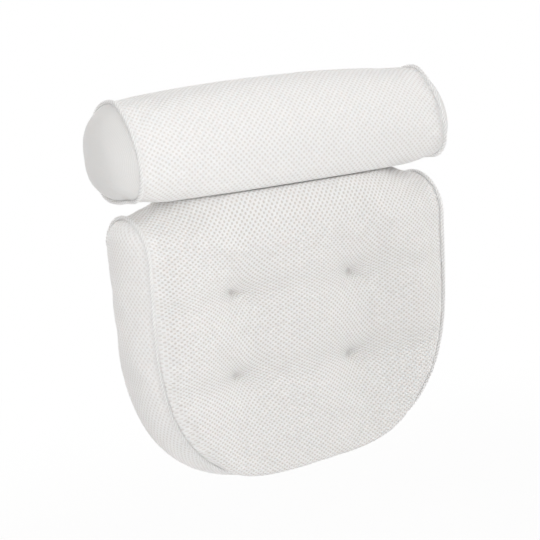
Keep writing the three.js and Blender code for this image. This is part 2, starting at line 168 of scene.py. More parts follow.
def addPanel(shell, ids, outline, cells, pitch, keepOff, margin, place, finish, weave=1.0):
    # one flat panel of cloth on its own grid: whole cells inside, small triangles along the seam
    outline, pitch = np.asarray(outline, float), np.asarray(pitch, float)
    low, high = np.floor(outline.min(0) / pitch), np.ceil(outline.max(0) / pitch)
    across, along = (range(int(a), int(b) + 1) for a, b in zip(low, high))
    grid = [(i, j) for i in across for j in along]
    spots = np.array(grid) * pitch
    away = awayFrom(spots, outline)
    keep = insideOf(spots, outline) & (away > keepOff)
    inner = spots[keep]
    fade = seamFade + (1 - seamFade) * np.clip((away[keep] - keepOff) / margin, 0, 1)
    ids = ids + addPlaces(shell, place(inner), weave * fade)
    cells = list(cells) + [g for g, k in zip(grid, keep) if k]
    flats = np.vstack([outline, inner]) / pitch
    count = len(outline)
    loop = [(k, (k + 1) % count) for k in range(count)]
    found = delaunay_2d_cdt([Vector(p) for p in flats], loop, [], 1, 1e-6)
    names = [source[0] for source in found[3]]
    spot = {cell: k for k, cell in enumerate(cells) if cell is not None}
    whole, triangles = {}, []
    for face in found[2]:
        corners = [names[k] for k in face]
        held = [cells[k] for k in corners]
        triangles.append((corners, None))
        if None in held:
            continue
        (i, j), (far, top) = np.min(held, axis=0), np.max(held, axis=0)
        square = [spot.get(c) for c in cellCorners(i, j)]
        if far - i == 1 and top - j == 1 and None not in square:
            whole[(i, j)] = whole.get((i, j), 0) + 1
            triangles[-1] = (corners, (i, j))
    for corners, cell in triangles:
        if whole.get(cell) != 2:
            addFace(shell, [ids[k] for k in corners], flats[corners], finish)
    for cell, halves in whole.items():
        if halves == 2:
            corners = [spot[c] for c in cellCorners(*cell)]
            addFace(shell, [ids[k] for k in corners], flats[corners], finish)


def tubeFaces(first, rings, sides, closed=False):
    # faces of a tube of rings of points; an open tube has a face at each end
    faces = []
    for k in range(rings if closed else rings - 1):
        a, b = first + k * sides, first + (k + 1) % rings * sides
        faces += [(a + s, a + (s + 1) % sides, b + (s + 1) % sides, b + s) for s in range(sides)]
    if not closed:
        last = first + (rings - 1) * sides
        faces += [tuple(first + s for s in range(sides))[::-1], tuple(last + s for s in range(sides))]
    return faces


def select(obj):
    bpy.ops.object.select_all(action="DESELECT")
    obj.select_set(True)
    bpy.context.view_layer.objects.active = obj


def faceOut(obj):
    select(obj)
    bpy.ops.object.mode_set(mode="EDIT")
    bpy.ops.mesh.select_all(action="SELECT")
    bpy.ops.mesh.normals_make_consistent(inside=False)
    bpy.ops.object.mode_set(mode="OBJECT")


def newMesh(name, places, faces, material):
    mesh = bpy.data.meshes.new(name)
    mesh.from_pydata(np.asarray(places).tolist(), [], faces)
    obj = bpy.data.objects.new(name, mesh)
    scene.collection.objects.link(obj)
    faceOut(obj)
    bpy.ops.object.shade_smooth()
    mesh.materials.append(material)
    return obj


def sewShell(name, shell, seams, pinned):
    mesh = bpy.data.meshes.new(name)
    mesh.from_pydata(shell["places"], [], shell["faces"])
    weave = mesh.uv_layers.new(name="weave")
    weave.data.foreach_set("uv", np.asarray(shell["flats"], np.float32).ravel())
    fade = mesh.attributes.new("fade", "FLOAT", "POINT")
    fade.data.foreach_set("value", np.asarray(shell["fade"], np.float32))
    mesh.polygons.foreach_set("material_index", np.asarray(shell["finish"], np.int32))
    seamEdges = {frozenset(pair) for pair in seams}
    crease = mesh.attributes.new("crease_edge", "FLOAT", "EDGE")
    sharp = [seamCrease if frozenset(e.vertices) in seamEdges else 0.0 for e in mesh.edges]
    crease.data.foreach_set("value", sharp)
    obj = bpy.data.objects.new(name, mesh)
    scene.collection.objects.link(obj)
    group = obj.vertex_groups.new(name="sewn")
    group.add(sorted(set(pinned)), 1.0, "REPLACE")
    faceOut(obj)
    return obj


def readBack(items, key, width=1, kind=np.float32):
    values = np.empty(len(items) * width, kind)
    items.foreach_get(key, values)
    return values.reshape(-1, width) if width > 1 else values


def readPlaces(obj):
    return readBack(obj.data.vertices, "co", 3, float)


def writePlaces(obj, places):
    obj.data.vertices.foreach_set("co", np.asarray(places, float).ravel())
    obj.data.update()


# cloth under the pressure of its filling; of any move inward, the share undone is taken back
filling = dict(frames=20, undone=0.6,
               cloth=dict(quality=6, mass=0.3, tension_stiffness=12, compression_stiffness=12, shear_stiffness=5,
                          bending_stiffness=6, vertex_group_mass="sewn", use_pressure=True))


def stuff(obj, pressure, slack, cap):
    # the filling presses the cloth out between its seams and ties
    before = readPlaces(obj)
    normal = readBack(obj.data.vertex_normals, "vector", 3, float)
    select(obj)
    cloth = obj.modifiers.new("stuffing", "CLOTH")
    settings = cloth.settings
    for key, value in filling["cloth"].items():
        setattr(settings, key, value)
    settings.shrink_min = -slack
    settings.uniform_pressure_force = pressure
    settings.effector_weights.gravity = 0
    cloth.collision_settings.use_collision = False
    cloth.collision_settings.use_self_collision = False
    cloth.point_cache.frame_start = 1
    cloth.point_cache.frame_end = filling["frames"]
    for step in range(1, filling["frames"] + 1):
        scene.frame_set(step)
    bpy.ops.object.modifier_apply(modifier=cloth.name)
    scene.frame_set(1)
    moved = readPlaces(obj) - before
    inward = np.minimum((moved * normal).sum(1), 0)
    moved -= filling["undone"] * inward[:, None] * normal
    length = np.maximum(np.linalg.norm(moved, axis=1), 1e-9)
    print(obj.name, "stuffed, by", round(float(length.max()) * 1000, 1), "mm at most")
    writePlaces(obj, before + moved * (cap * np.tanh(length / cap) / length)[:, None])


def refine(obj, levels):
    select(obj)
    finer = obj.modifiers.new("finer", "SUBSURF")
    finer.levels = finer.render_levels = levels
    finer.uv_smooth = "NONE"
    bpy.ops.object.modifier_apply(modifier=finer.name)
    bpy.ops.object.shade_smooth()


def weaveRelief(obj, depth):
    # sinks the holes of the mesh into the cloth, two to each cell of the grid
    mesh = obj.data
    corner = readBack(mesh.loops, "vertex_index", kind=np.int32)
    flat = readBack(mesh.uv_layers["weave"].data, "uv", 2)
    fade = readBack(mesh.attributes["fade"].data, "value")
    normal = readBack(mesh.vertex_normals, "vector", 3)
    relief = np.zeros(len(mesh.vertices))
    a, b = flat[:, 0] + flat[:, 1], flat[:, 0] - flat[:, 1]
    relief[corner] = 0.5 * (np.cos(2 * np.pi * a) + np.cos(2 * np.pi * b))
    writePlaces(obj, readPlaces(obj) - (depth * relief * fade)[:, None] * normal)


# materials

# of every cloth: how it shines, and how light spreads in it
clothLight = dict(shine=0.25, spreadColour=(1.0, 0.9, 0.85), spreadReach=0.012)


def setInputs(shader, values):
    for socket, value in values.items():
        shader.inputs[socket].default_value = value


def newMaterial(name, colour, roughness, sheen=0.0, glow=0.0):
    material = bpy.data.materials.new(name)
    material.use_nodes = True
    shader = material.node_tree.nodes["Principled BSDF"]
    setInputs(shader, {"Base Color": (*colour, 1), "Roughness": roughness, "Specular IOR Level": clothLight["shine"],
                       "Sheen Weight": sheen, "Subsurface Weight": glow,
                       "Subsurface Radius": clothLight["spreadColour"], "Subsurface Scale": clothLight["spreadReach"]})
    return material, material.node_tree, shader


def node(tree, kind, *links, **settings):
    made = tree.nodes.new(kind)
    for key, value in settings.items():
        setattr(made, key, value)
    for socket, source in links:
        if hasattr(source, "is_output"):
            tree.links.new(source, made.inputs[socket])
        else:
            made.inputs[socket].default_value = source
    return made


def maths(tree, operation, *values):
    return node(tree, "ShaderNodeMath", *enumerate(values), operation=operation).outputs[0]


def spread(tree, value, low, high, toLow=0.0, toHigh=1.0):
    links = ((0, value), (1, low), (2, high), (3, toLow), (4, toHigh))
    return node(tree, "ShaderNodeMapRange", *links, interpolation_type="SMOOTHSTEP").outputs[0]


def mixColour(tree, share, first, second):
    first, second = ((*c, 1) if isinstance(c, tuple) else c for c in (first, second))
    links = ((0, share), (6, first), (7, second))
    return node(tree, "ShaderNodeMix", *links, data_type="RGBA").outputs[2]


def noise(tree, vector, scale, detail):
    links = (("Vector", vector), ("Scale", scale), ("Detail", detail))
    return node(tree, "ShaderNodeTexNoise", *links).outputs["Fac"]


def objectPlace(tree):
    return node(tree, "ShaderNodeTexCoord").outputs["Object"]


def feed(tree, shader, colour, rough=None):
    tree.links.new(colour, shader.inputs["Base Color"])
    if rough is not None:
        tree.links.new(rough, shader.inputs["Roughness"])


def addBump(tree, shader, height, distance, strength):
    links = (("Height", height), ("Distance", distance), ("Strength", strength))
    tree.links.new(node(tree, "ShaderNodeBump", *links).outputs[0], shader.inputs["Normal"])


# of the cloths below: rough is the span and base of the roughness, bump its depth and strength, and yarn, cloud, fuzz
# and fibre the scale and detail of a noise
# the hole colour is painted shade in the holes of the mesh, darker and warmer than the yarn
meshCloth = dict(colour=(0.94, 0.94, 0.935), pale=(0.97, 0.965, 0.96), hole=(0.77, 0.74, 0.715), holes=(0.0, 0.6),
                 roughness=0.9, rough=(0.12, 0.82), sheen=0.15, glow=0.35, yarn=(2600, 2.0), yarnTint=0.08,
                 yarnHeight=0.25, cloud=(14, 3.0), cloudTint=0.05, bump=(0.0006, 0.7))


def airMeshMaterial():
    m = meshCloth
    material, tree, shader = newMaterial("airMesh", m["colour"], m["roughness"], m["sheen"], m["glow"])
    flat = node(tree, "ShaderNodeUVMap", uv_map="weave").outputs[0]
    across, along = node(tree, "ShaderNodeSeparateXYZ", (0, flat)).outputs[:2]
    waves = []
    for operation in ("ADD", "SUBTRACT"):
        turn = maths(tree, "MULTIPLY", maths(tree, operation, across, along), 2 * math.pi)
        waves.append(maths(tree, "COSINE", turn))
    wave = maths(tree, "MULTIPLY", maths(tree, "ADD", *waves), 0.5)
    fade = node(tree, "ShaderNodeAttribute", attribute_name="fade").outputs["Fac"]
    # painted shade in the holes of the mesh, less of it at the seams
    hole = maths(tree, "MULTIPLY", spread(tree, wave, *m["holes"]), fade)
    place = objectPlace(tree)
    yarn = noise(tree, place, *m["yarn"])
    cloud = noise(tree, place, *m["cloud"])
    tint = maths(tree, "MULTIPLY_ADD", yarn, m["yarnTint"], maths(tree, "MULTIPLY", cloud, m["cloudTint"]))
    bright = mixColour(tree, tint, m["colour"], m["pale"])
    rough = maths(tree, "MULTIPLY_ADD", yarn, *m["rough"])
    feed(tree, shader, mixColour(tree, hole, bright, m["hole"]), rough)
    raised = maths(tree, "MULTIPLY", yarn, m["yarnHeight"])
    addBump(tree, shader, maths(tree, "SUBTRACT", raised, maths(tree, "MULTIPLY", wave, fade)), *m["bump"])
    return material


# the shade colour of the plain knit is painted shade in the hollows of its ribs, with a random fuzz tone mixed in
plainCloth = dict(colour=(0.83, 0.83, 0.822), shade=(0.78, 0.78, 0.772), roughness=0.88, rough=(0.1, 0.82), sheen=0.15,
                  ribs=900.0, ribHeight=0.35, fuzz=(1800, 2.0), shadeAndFuzzTo=1.1, bump=(0.00025, 0.6))


def tricotMaterial(name, axis, glow):
    # fine ribs of plain knit, across the given axis
    m = plainCloth
    material, tree, shader = newMaterial(name, m["colour"], m["roughness"], m["sheen"], glow)
    place = objectPlace(tree)
    across = node(tree, "ShaderNodeSeparateXYZ", (0, place)).outputs[axis]
    rib = maths(tree, "SINE", maths(tree, "MULTIPLY", across, m["ribs"] * 2 * math.pi))
    fuzz = noise(tree, place, *m["fuzz"])
    height = maths(tree, "MULTIPLY_ADD", rib, m["ribHeight"], fuzz)
    # painted shade in the hollows of the ribs, with a random fuzz tone
    colour = mixColour(tree, spread(tree, height, 0.0, m["shadeAndFuzzTo"]), m["shade"], m["colour"])
    feed(tree, shader, colour, maths(tree, "MULTIPLY_ADD", fuzz, *m["rough"]))
    addBump(tree, shader, height, *m["bump"])
    return material


# the groove colour is painted shade in the grooves between the strands of the cord
cordCloth = dict(colour=(0.88, 0.88, 0.875), shade=(0.9, 0.9, 0.895), pale=(0.97, 0.97, 0.965),
                 grooveShade=(0.8, 0.79, 0.78), grooveShadeTo=0.7, roughness=0.85, rough=(0.15, 0.78), sheen=0.2, glow=0.3,
                 fibre=(2200, 3.0), bump=(0.0003, 0.6))


def cordMaterial():
    m = cordCloth
    material, tree, shader = newMaterial("pipingCord", m["colour"], m["roughness"], m["sheen"], m["glow"])
    fibre = noise(tree, objectPlace(tree), *m["fibre"])
    colour = mixColour(tree, fibre, m["shade"], m["pale"])
    # painted shade in the grooves between the strands, from how far each point stands out of the core
    strand = node(tree, "ShaderNodeAttribute", attribute_name="strand").outputs["Fac"]
    colour = mixColour(tree, spread(tree, strand, 0.0, m["grooveShadeTo"]), m["grooveShade"], colour)
    feed(tree, shader, colour, maths(tree, "MULTIPLY_ADD", fibre, *m["rough"]))
    addBump(tree, shader, fibre, *m["bump"])
    return material


threadCloth = dict(colour=(0.87, 0.87, 0.865), shade=(0.8, 0.8, 0.795), pale=(0.91, 0.91, 0.905), roughness=0.7,
                   fibre=(3000, 2.0), bump=(0.0002, 0.5))


def threadMaterial():
    m = threadCloth
    material, tree, shader = newMaterial("sewingThread", m["colour"], m["roughness"])
    fibre = noise(tree, objectPlace(tree), *m["fibre"])
    feed(tree, shader, mixColour(tree, fibre, m["shade"], m["pale"]))
    addBump(tree, shader, fibre, *m["bump"])
    return material


# of the vinyl, cloud is the scale and detail of a noise, and its span from cloudSpan gives the roughness in rough
softVinyl = dict(colour=(0.86, 0.9, 0.92), shade=(0.8, 0.86, 0.89), pale=(0.9, 0.93, 0.94), roughness=0.14,
                 cloud=(60, 3.0), cloudSpan=(0.3, 0.7), rough=(0.1, 0.22),
                 inputs={"Transmission Weight": 0.75, "IOR": 1.46, "Specular IOR Level": 0.5})


def vinylMaterial():
    m = softVinyl
    material, tree, shader = newMaterial("clearVinyl", m["colour"], m["roughness"])
    setInputs(shader, m["inputs"])
    cloud = noise(tree, objectPlace(tree), *m["cloud"])
    feed(tree, shader, mixColour(tree, cloud, m["shade"], m["pale"]), spread(tree, cloud, *m["cloudSpan"], *m["rough"]))
    return material


airMesh = airMeshMaterial()
tricotBack = tricotMaterial("tricotBack", axis=0, glow=0.5)
tricotEnd = tricotMaterial("tricotEnd", axis=1, glow=0.5)
# the patches and the strip are too thin to glow
tricotThin = tricotMaterial("tricotThin", axis=0, glow=0.0)
pipingCord = cordMaterial()
clearVinyl = vinylMaterial()
sewingThread = threadMaterial()
print("materials made")


# back pad

padShape = dict(halfWidth=0.157, shoulder=0.214, topDepth=0.081, footDepth=0.066, cornerHeight=0.175, cornerPower=3.0,
                outlineSteps=1441, footDrop=0.0005, footTilt=0.036, faceFrom=0.4, faceRun=0.55, archHeight=0.035,
                rear=-0.0176, crown=0.018, dish=0.015, dishPower=3, footRim=0.009, footRimRun=0.09, footRimPower=1.5,
                sideRun=0.04, footRun=0.03, lipReach=0.0145, lipTurn=50, shoulderCrown=0.0105, ridgeCrown=0.0112,
                ridgeSideRun=0.1, pressed=0.022, pressedRun=0.12, pressedFade=0.2, bandBulge=0.0137, footBulge=0.008,
                tufts=((-0.075, 0.093), (-0.075, 0.172), (0.051, 0.0901), (0.051, 0.171)), tuftDepth=0.0125,
                tuftSpread=0.019, folds=((0.093, 0.002), (0.172, 0.0012)), foldSpread=0.014, foldGather=0.18,
                foldGatherRun=0.0196, gather=0.005, gatherRun=0.022, creases=(20, -5, 30, -35), creaseDepth=0.0045,
                creaseWidth=0.0035, creaseRun=0.02, creaseBack=0.004, frontFrom=-0.06, columns=62, rows=53, archRows=30,
                archLength=0.1225, cellClear=0.55, backCell=0.009, backClear=0.004, backMargin=0.01, pressure=4.0,
                slack=0.01, cap=0.003, fineness=2, relief=0.0004, bandWeave=0.65, margin=0.0035)
# the roll and the pad are pressed flat on each other at this height
pinch = dict(height=0.2612, gap=0.0004)
archCentre = padShape["rear"] - padShape["topDepth"] / 2
footRise = padShape["cornerHeight"] + padShape["footDrop"]
lipTurn = math.radians(padShape["lipTurn"])
lipRadius = padShape["lipReach"] / (1 + math.sin(lipTurn))
lipRun = lipRadius * (math.pi / 2 + lipTurn)
lipSlack = lipRun - lipRadius * math.cos(lipTurn)


def underPinch(z):
    return np.minimum(z, pinch["height"] - pinch["gap"])


def overPinch(z):
    return np.maximum(z, pinch["height"] + pinch["gap"])


def sewCushion(name, shell, seams, pinned, p, plain, press):
    # sews and stuffs the panels, presses the cushion at the pinch and works in the weave
    cushion = sewShell(name, shell, seams, pinned)
    for material in (airMesh, plain):
        cushion.data.materials.append(material)
    stuff(cushion, p["pressure"], p["slack"], p["cap"])
    places = readPlaces(cushion)
    places[:, 2] = press(places[:, 2])
    writePlaces(cushion, places)
    refine(cushion, p["fineness"])
    weaveRelief(cushion, p["relief"])
    return cushion


def footHeight(x):
    # the foot hangs a little lower on the left
    p = padShape
    u = np.clip(np.abs(x) / p["halfWidth"], 0, 1) ** p["cornerPower"]
    even = footRise * (1 - (1 - u) ** (1 / p["cornerPower"])) - p["footDrop"]
    return even + p["footTilt"] * x * (1 - u)


def footOutline(count):
    # half-round foot of the pad from its left side to its right, as x and z
    p = padShape
    turn = np.linspace(0, math.pi, p["outlineSteps"])
    x = -p["halfWidth"] * signedPower(np.cos(turn), 2 / p["cornerPower"])
    z = footHeight(x)
    top = cornerRow * padPitch[1]
    line = np.vstack([[-p["halfWidth"], top], np.stack([x, z], 1), [p["halfWidth"], top]])
    return evenSteps(line, count) if count else line


def footFacing(x):
    # 1 where the outline faces down, 0 along the sides and round the corners
    p, power = padShape, padShape["cornerPower"]
    u = np.clip(np.abs(x) / p["halfWidth"], 0, 0.9999)
    slope = footRise / p["halfWidth"] * u ** (power - 1) * (1 - u ** power) ** (1 / power - 1)
    return smooth((1 / (1 + slope * slope) - p["faceFrom"]) / p["faceRun"])


def lipPlace(away):
    # the full front panel hangs a little below its foot seam before it turns up: share forward, and lift of the cloth
    angle = (math.pi / 2 + lipTurn) * np.clip(away / lipRun, 0, 1) - lipTurn
    forward = (np.sin(angle) + math.sin(lipTurn)) / (1 + math.sin(lipTurn))
    lift = lipRadius * (math.cos(lipTurn) - np.cos(angle)) - away + lipSlack
    return forward, np.where(away < lipRun, lift, 0)


def frontSeam(z):
    p = padShape
    share = z / p["shoulder"]
    return p["rear"] - p["footDepth"] - (p["topDepth"] - p["footDepth"]) * share


def tuftPull(x, z):
    # a soft fold runs across through each pair of ties, and each tie draws in a dimple with one short tuck
    p = padShape
    pull = sum(depth * np.exp(-((z - height) / p["foldSpread"]) ** 2) for height, depth in p["folds"])
    for (tuftX, tuftZ), turn in zip(p["tufts"], p["creases"]):
        dx, dz = x - tuftX, z - tuftZ
        pull += p["tuftDepth"] * np.exp(-np.hypot(dx, dz) / p["tuftSpread"])
        turn = math.radians(turn)
        ahead, beside = dx * math.cos(turn) + dz * math.sin(turn), dz * math.cos(turn) - dx * math.sin(turn)
        run = np.where(ahead > 0, np.exp(-np.maximum(ahead, 0) / p["creaseRun"]),
                       np.exp(-(ahead / p["creaseBack"]) ** 2))
        pull += p["creaseDepth"] * run * np.exp(-(beside / p["creaseWidth"]) ** 2)
    return pull


def gatherFlat(flat):
    # the cloth round a tie is drawn towards it, and the rows of its mesh bend in
    p = padShape
    flat = np.array(flat, float)
    for tuft in p["tufts"]:
        away = flat - tuft
        run = np.linalg.norm(away, axis=1) / p["gatherRun"]
        flat -= away * (p["gather"] / p["gatherRun"] * np.exp(1 - run))[:, None]
    for height, _ in p["folds"]:
        away = flat[:, 1] - height
        flat[:, 1] -= p["foldGather"] * away * np.exp(-(away / p["foldGatherRun"]) ** 2)
    return flat


def frontPlace(flat):
    # flat panel to its place: up the front, then over the rounded top to the back
    p = padShape
    flat = np.asarray(flat, float)
    x, z = flat[:, 0], np.minimum(flat[:, 1], p["shoulder"])
    low, high = p["folds"][0][0], p["folds"][1][0]
    upper, top = smooth((z - low) / (p["shoulder"] - low)), smooth((z - high) / (p["shoulder"] - high))
    inward = p["halfWidth"] - np.abs(x)
    swell = ease(inward / (p["sideRun"] + (p["ridgeSideRun"] - p["sideRun"]) * top))
    down = footFacing(x)
    away = z - footHeight(x) + down * lipSlack
    forward, lift = lipPlace(away)
    swell *= down * forward + (1 - down) * ease(away / p["footRun"])
    crown = p["crown"] - p["dish"] * (1 - np.abs(x / p["halfWidth"]) ** p["dishPower"])
    crown += p["footRim"] * np.clip(1 - z / p["footRimRun"], 0, 1) ** p["footRimPower"]
    crown += (p["shoulderCrown"] - crown) * upper
    pull = tuftPull(x, z)
    height = z + down * lift
    front = np.stack([x, frontSeam(height) + (pull - crown) * swell, height], 1)
    turn = np.clip((flat[:, 1] - p["shoulder"]) / p["archLength"], 0, 1)
    angle = turn * math.pi
    reach, rise = p["topDepth"] / 2, p["archHeight"]
    out = unit(np.stack([-np.cos(angle) / reach, np.sin(angle) / rise], 1))
    rising = p["shoulderCrown"] + (p["ridgeCrown"] - p["shoulderCrown"]) * smooth(2 * turn)
    crown = np.where(turn < 0.5, rising, p["ridgeCrown"] * (1 - smooth(2 * turn - 1)))
    lift = ease(inward / p["ridgeSideRun"]) * (crown - pull * (1 - smooth(2 * turn)))
    full = p["pressed"] * np.sin(math.pi * turn) ** 2 * (1 - smooth((turn - 0.5) / p["pressedFade"]))
    lift += full * smooth(inward / p["pressedRun"])
    arch = np.stack([x, archCentre - reach * np.cos(angle) + out[:, 0] * lift,
                     p["shoulder"] + rise * np.sin(angle) + out[:, 1] * lift], 1)
    arch[:, 2] = underPinch(arch[:, 2])
    return np.where((turn > 0)[:, None], arch, front)


def bandPlace(flat):
    # flat band to its place: along the outline, swelling between its two seams
    p = padShape
    along, y = flat[:, 0], flat[:, 1]
    x, z = np.interp(along, bandAlong, bandLine[:, 0]), np.interp(along, bandAlong, bandLine[:, 1])
    outward = np.stack([np.interp(along, bandAlong, bandOut[:, k]) for k in range(2)], 1)
    over = np.clip((z - p["shoulder"]) / p["archHeight"], 0, 1)
    lean = np.sqrt(1 - over * over) * p["topDepth"] / 2
    ahead = np.where(over > 0, archCentre - lean, frontSeam(z))
    behind = np.where(over > 0, archCentre + lean, p["rear"])
    share = np.clip((y - ahead) / np.maximum(behind - ahead, 1e-6), 0, 1)
    fullness = p["bandBulge"] + (p["footBulge"] - p["bandBulge"]) * outward[:, 1] ** 2
    bulge = fullness * np.minimum(1, (behind - ahead) / p["footDepth"]) * 4 * share * (1 - share)
    return np.stack([x + outward[:, 0] * bulge, y, z + outward[:, 1] * bulge], 1)


padPitch = (2 * padShape["halfWidth"] / padShape["columns"], padShape["shoulder"] / padShape["rows"])
cornerRow = math.ceil(padShape["cornerHeight"] / padPitch[1])
topRow = padShape["rows"] + padShape["archRows"]
archPitch = padShape["archLength"] / padShape["archRows"]
sideCell = padShape["columns"] // 2

# outline of the band from the left peak round the foot to the right peak, with its outward direction
peak = padShape["shoulder"] + padShape["archHeight"]
bandLine = np.vstack([[[-padShape["halfWidth"], peak]], footOutline(0), [[padShape["halfWidth"], peak]]])
bandLine = bandLine[np.concatenate([[True], np.diff(alongLine(bandLine)) > 1e-7])]
bandAlong = alongLine(bandLine)
tangent = unit(np.gradient(bandLine, axis=0))
bandOut = np.stack([tangent[:, 1], -tangent[:, 0]], 1)


def bandFlat(places):
    # flat place on the band of points on its edges
    flat = []
    for x, y, z in places:
        if z >= cornerRow * padPitch[1] - 1e-9:
            along = peak - z if x < 0 else bandAlong[-1] - (peak - z)
        else:
            along = bandAlong[np.argmin(np.hypot(bandLine[:, 0] - x, bandLine[:, 1] - z))]
        flat.append((along, y))
    return np.array(flat)


def makePad():
    p = padShape
    shell = newShell()
    rowHeight = [j * padPitch[1] if j <= p["rows"] else p["shoulder"] + (j - p["rows"]) * archPitch
                 for j in range(topRow + 1)]
    foot = footOutline(round(alongLine(footOutline(0))[-1] / padPitch[0]))[1:-1]
    foot[:, 1] -= lipSlack * footFacing(foot[:, 0])
    sideRows = list(range(topRow, cornerRow - 1, -1))
    left = [(-p["halfWidth"], rowHeight[j]) for j in sideRows]
    right = [(p["halfWidth"], rowHeight[j]) for j in reversed(sideRows)]
    top = [(i * padPitch[0], rowHeight[topRow]) for i in range(sideCell - 1, -sideCell, -1)]
    outline = np.array([*left, *foot, *right, *top])
    cells = [*((-sideCell, j) for j in sideRows), *(None for _ in foot), *((sideCell, j) for j in reversed(sideRows)),
             *((i, topRow) for i in range(sideCell - 1, -sideCell, -1))]
    # the arch rows are a little wider than the front rows, so the flat panel is measured in rows
    stretch = np.interp(outline[:, 1], rowHeight, np.arange(topRow + 1)) * padPitch[1]
    stretch += np.minimum(outline[:, 1], 0)
    seamIds = addPlaces(shell, frontPlace(outline), seamFade)

    def front(flat):
        rows = flat[:, 1] / padPitch[1]
        height = np.interp(rows, np.arange(topRow + 1), rowHeight) + np.minimum(flat[:, 1], 0)
        return frontPlace(gatherFlat(np.stack([flat[:, 0], height], 1)))

    keepOff = p["cellClear"] * padPitch[1]
    addPanel(shell, seamIds, np.stack([outline[:, 0], stretch], 1), cells, padPitch, keepOff, p["margin"], front, 0)
    # band: down the left arch, round the front seam, over the right arch, and back along the rear seam
    edge = len(left) + len(foot) + len(right)
    frontIds = seamIds[p["archRows"]:edge - p["archRows"]]
    frontPlaces = np.array([shell["places"][k] for k in frontIds])
    rearPlaces = frontPlaces[1:-1].copy()
    rearPlaces[:, 1] = p["rear"]
    rearIds = addPlaces(shell, rearPlaces)
    bandIds = seamIds[:edge] + rearIds[::-1]
    bandOutline = bandFlat([shell["places"][k] for k in bandIds])
    addPanel(shell, bandIds, bandOutline, [None] * len(bandIds), padPitch, keepOff, p["margin"], bandPlace, 0,
             p["bandWeave"])
    # rear panel, flat against the bath
    backIds = [seamIds[0], *rearIds, seamIds[edge - 1], *seamIds[edge:]]
    backOutline = np.array([shell["places"][k] for k in backIds])[:, [0, 2]]
    rearFirst = len(shell["places"])
    addPanel(shell, backIds, backOutline, [None] * len(backIds), (p["backCell"], p["backCell"]), p["backClear"],
             p["backMargin"], lambda flat: np.insert(flat, 1, p["rear"], axis=1), 1)
    seams = [*zip(seamIds[:edge], seamIds[1:edge]), *zip(backIds, [*backIds[1:], backIds[0]])]
    places = np.array(shell["places"])
    pinned = list(seamIds) + rearIds + list(range(rearFirst, len(places)))
    for tuftX, tuftZ in p["tufts"]:
        away = np.hypot(places[:, 0] - tuftX, places[:, 2] - tuftZ)
        held = int(np.where(places[:, 1] > p["frontFrom"], np.inf, away).argmin())
        shell["places"][held] = tuple(frontPlace(np.array([[tuftX, tuftZ]]))[0])
        pinned.append(held)
    pad = sewCushion("pad_cushion", shell, seams, pinned, p, tricotBack, underPinch)
    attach(pad, "pad")
    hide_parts("pad_front_panel", "pad_side_band", "pad_rear_panel", "pad_filling")
    return pad


padCushion = makePad()
print("pad made", len(padCushion.data.vertices), "points")


# head roll

rollShape = dict(halfLength=0.161, centre=0.310, halfHeight=0.0409, noseReach=0.045, rearReach=0.046, nosePower=2.05,
                 rearPower=3.6, rearTopPower=2.2, endFrom=0.78, heel=0.004, heelFrom=0.5, heelRun=0.6, noseDrop=0.018,
                 noseEase=0.35, crown=0.0066, noseCrown=0.0036, pressed=0.008, pressedBack=0.3, sectionSteps=720,
                 endBulge=0.0225, endPower=3.3, rear=-0.0176, backHold=0.0015, columns=60, rowsAround=60, endRings=11,
                 endCell=0.005, pressure=4.0, slack=0.006, cap=0.002, fineness=2, relief=0.0004, weave=0.65,
                 margin=0.004, seamBare=0.4)
rollWaist = rollShape["rear"] - rollShape["rearReach"]


def rollSection(x, count):
    # one section of the roll: from the middle of the flat back round under the nose and over the top
    p = rollShape
    swell = 1 - min(1, abs(x) / p["halfLength"]) ** 2
    angle = np.linspace(-math.pi, math.pi, p["sectionSteps"], endpoint=False)
    front = np.cos(angle) >= 0
    # towards the ends the top of the back is rounder and its foot a little lower
    end = smooth((abs(x) / p["halfLength"] - p["endFrom"]) / (1 - p["endFrom"]))
    top = p["rearPower"] + (p["rearTopPower"] - p["rearPower"]) * end
    power = np.where(front, 2 / p["nosePower"], np.where(np.sin(angle) > 0, 2 / top, 2 / p["rearPower"]))
    reach = np.where(front, p["noseReach"] + p["noseCrown"] * swell, p["rearReach"])
    height = p["halfHeight"] + p["crown"] * swell
    y = rollWaist - reach * signedPower(np.cos(angle), power)
    # the nose drops smoothly from the foot of the roll
    ahead, half = np.maximum(0, np.cos(angle)), p["noseEase"] / 2
    drop = p["noseDrop"] * np.where(ahead < 2 * half, ahead * ahead / (4 * half), ahead - half) / (1 - half)
    behind = smooth((p["heelFrom"] - np.cos(angle)) / p["heelRun"])
    drop += p["heel"] * end * behind * np.maximum(0, -np.sin(angle))
    z = p["centre"] + height * signedPower(np.sin(angle), power) - drop
    # pressed on the pad, the cloth under the nose fills out and its foot lies flat
    under = angle + math.pi / 2
    full = p["pressed"] * swell * np.where(under > 0, np.cos(np.clip(under, 0, math.pi / 2)) ** 2,
                                           np.exp(-(under / p["pressedBack"]) ** 2))
    y, z = y - full * np.sin(under), z - full * np.cos(under)
    ring = evenSteps(np.stack([y, overPinch(z)], 1), count, closed=True)
    return np.column_stack([np.full(count, x), ring])


